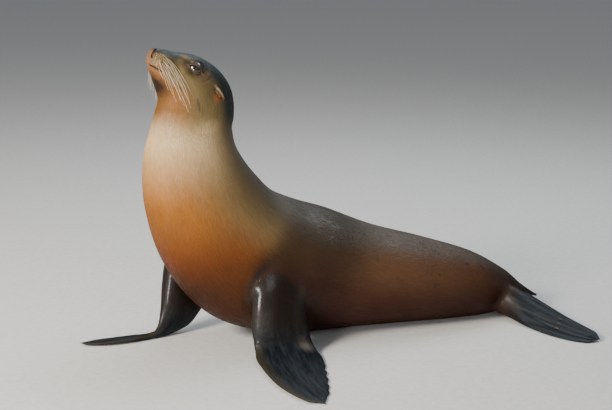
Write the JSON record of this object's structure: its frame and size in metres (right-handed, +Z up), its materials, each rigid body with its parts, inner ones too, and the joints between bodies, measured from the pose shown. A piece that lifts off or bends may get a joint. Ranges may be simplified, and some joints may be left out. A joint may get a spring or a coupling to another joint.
{
  "type": "sea lion",
  "caption": "Life-size still model of an adult female California sea lion, propped up on its fore flippers with its head raised.",
  "frame": {"origin": "middle of the model's bounding box, on the floor it rests on", "axes": "+Z up, -X the way the animal faces, -Y towards its left side, which its chest and head turn to"},
  "size_m": [1.36, 0.7816, 0.7704],
  "materials": {
    "coat": "short wet fur lying flat, orange-brown on the chest, slate grey-brown on the crown and back, dark red-brown on the belly",
    "flipper_skin": "bare black skin, wet, with a blue-grey sheen",
    "nose_pad": "bare moist skin",
    "eye": "wet, very dark brown",
    "nail": "dark horn"
  },
  "bodies": {
    "root": {"head": "coat", "jaw": "coat", "nose": "nose_pad", "neck": "coat", "chest": "coat", "belly": "coat", "rump": "coat", "tail": "coat", "ear_left": "coat", "ear_right": "coat", "eye_left": "eye", "eye_right": "eye", "fore_flipper_left": "flipper_skin", "fore_flipper_right": "flipper_skin", "hind_flipper_left": "flipper_skin", "hind_flipper_right": "flipper_skin", "hind_nail_left_1": "nail", "hind_nail_left_2": "nail", "hind_nail_left_3": "nail", "hind_nail_right_1": "nail", "hind_nail_right_2": "nail", "hind_nail_right_3": "nail"}
  },
  "joints": []
}
